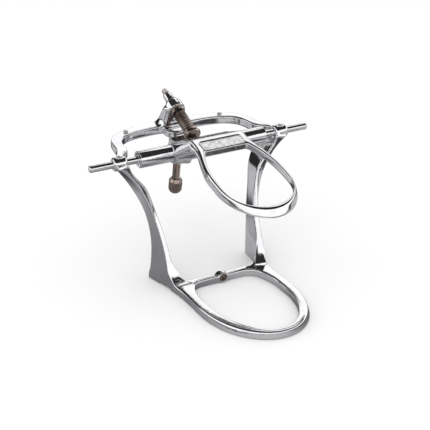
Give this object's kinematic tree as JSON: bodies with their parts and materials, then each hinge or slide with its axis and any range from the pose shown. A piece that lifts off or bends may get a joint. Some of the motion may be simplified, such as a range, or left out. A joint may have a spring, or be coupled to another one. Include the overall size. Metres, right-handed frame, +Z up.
{
  "type": "dental articulator",
  "caption": "Chrome dental articulator: lower stand with open plaster bow, hinged upper bow on a sliding shaft, sprung bolt and stop screw.",
  "frame": {"origin": "bottom centre of the articulator in its closed pose, on the table it stands on", "axes": "+X along the hinge shaft to the right, +Y to the back (nose of the bows points to -Y), +Z up"},
  "size_m": [0.135, 0.1404, 0.0931],
  "materials": {
    "chrome": "polished chrome plate",
    "shaft_steel": "ground bright steel",
    "screw_steel": "bright screw steel",
    "spring_steel": "oil-blackened spring steel",
    "stop_steel": "warm toned plated steel",
    "bush_brass": "turned brass"
  },
  "bodies": {
    "lower_frame": {"lower_bow": "chrome", "left_upright": "chrome", "right_upright": "chrome", "rear_hoop": "chrome", "socket_bush": "spring_steel", "knuckle_lock_screws": "screw_steel", "hoop_pins": "screw_steel", "stop_anvil": "screw_steel", "lug_bush": "bush_brass", "rear_spring_seat": "spring_steel", "coil_spring": "spring_steel"},
    "shaft": {"hinge_shaft": "shaft_steel"},
    "upper_arm": {"upper_frame": "chrome", "left_hub_sleeve": "chrome", "right_hub_sleeve": "chrome", "hub_lock_screw": "screw_steel"},
    "bolt": {"spring_bolt": "screw_steel", "bolt_button": "spring_steel", "front_spring_seat": "spring_steel", "lock_nut": "spring_steel", "adjusting_nut": "chrome", "retaining_ring": "bush_brass"},
    "stop": {"stop_screw": "stop_steel", "stop_knob": "stop_steel"}
  },
  "joints": [
    {"name": "side_shift", "type": "slide", "parent": "lower_frame", "child": "shaft", "axis": [1, 0, 0], "range_m": [-0.005, 0.005]},
    {"name": "upper_hinge", "type": "hinge", "parent": "shaft", "child": "upper_arm", "pos_m": [0, 0.0238, 0.073], "axis": [-1, 0, 0], "range_deg": [0, 75]},
    {"name": "stop_travel", "type": "slide", "parent": "upper_arm", "child": "stop", "axis": [0, 0.1736, -0.9848], "range_m": [0, 0.007]},
    {"name": "bolt_spring", "type": "slide", "parent": "lower_frame", "child": "bolt", "axis": [0, 0.915, 0.4035], "range_m": [0, 0.004], "stiffness_N_per_m": 800, "springref_m": -0.003, "deforming": ["coil_spring"]}
  ]
}
